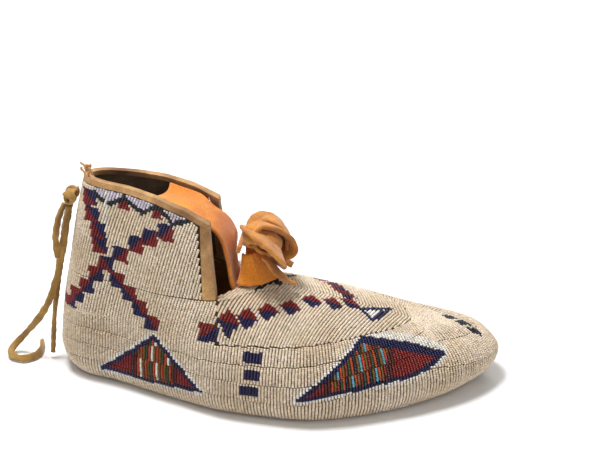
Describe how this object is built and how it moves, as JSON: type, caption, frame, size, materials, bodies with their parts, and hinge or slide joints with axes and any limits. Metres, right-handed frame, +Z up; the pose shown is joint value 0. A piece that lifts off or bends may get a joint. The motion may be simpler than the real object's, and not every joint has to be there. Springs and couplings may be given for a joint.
{
  "type": "beaded moccasin",
  "caption": "High-topped hide moccasin with a beaded sole and upper, ankle flaps, a folded tongue, a front tie and heel thongs.",
  "frame": {"origin": "middle of the shoe on the ground (bounding box without the heel thongs)", "axes": "+Z up, +X towards the toe, -Y the outer (lateral) side, +Y the inner side"},
  "size_m": [0.2946, 0.109, 0.1241],
  "materials": {
    "beads": "semi-gloss seed beads in lanes",
    "sole_beads": "semi-gloss seed beads in lanes",
    "thong_hide": "matte suede thong",
    "tongue_hide": "matte smoked hide",
    "tie_hide": "matte smoked hide",
    "rawhide": "satin rawhide",
    "edge_hide": "matte rolled hide edge",
    "body_hide": "matte tanned hide"
  },
  "bodies": {
    "root": {"edge_lane_beadwork": "beads", "heel_seam_welt": "edge_hide", "heel_thong_knot": "thong_hide", "heel_thong_long": "thong_hide", "heel_thong_short": "thong_hide", "heel_thong_straight": "thong_hide", "quarter_beadwork_lateral": "beads", "quarter_beadwork_medial": "beads", "side_lane_1_beadwork": "beads", "side_lane_2_beadwork": "beads", "side_lane_3_beadwork": "beads", "sole_beadwork_forefoot": "sole_beads", "sole_beadwork_heel": "sole_beads", "sole_rawhide": "rawhide", "sole_seam_rand": "edge_hide", "tongue_base": "tongue_hide", "upper_hide": "body_hide", "vamp_beadwork": "beads"},
    "lateral_flap": {"ankle_beadwork_lateral": "beads", "ankle_flap_hide_lateral": "body_hide", "front_binding_lateral": "edge_hide", "top_binding_lateral": "edge_hide"},
    "medial_flap": {"ankle_beadwork_medial": "beads", "ankle_flap_hide_medial": "body_hide", "front_binding_medial": "edge_hide", "top_binding_medial": "edge_hide"},
    "tongue_top": {"tongue_flap": "tongue_hide"},
    "tie": {"tie_knot": "tie_hide", "tie_band": "tie_hide", "tie_end_lateral": "tie_hide", "tie_end_medial": "tie_hide"}
  },
  "joints": [
    {"name": "lateral_flap_swing", "type": "hinge", "parent": "root", "child": "lateral_flap", "pos_m": [-0.1234, 0.00193, 0.066], "axis": [-0.19, 0, -0.9818], "range_deg": [0, 20]},
    {"name": "medial_flap_swing", "type": "hinge", "parent": "root", "child": "medial_flap", "pos_m": [-0.1234, 0.01793, 0.066], "axis": [0.19, 0, 0.9818], "range_deg": [0, 20]},
    {"name": "tongue_lift", "type": "hinge", "parent": "root", "child": "tongue_top", "pos_m": [-0.0275, 0, 0.0946], "axis": [0.1668, 0.986, 0], "range_deg": [0, 75]},
    {"name": "tie_slide", "type": "slide", "parent": "root", "child": "tie", "axis": [0.9, 0, 0.436], "range_m": [0, 0.03]}
  ]
}
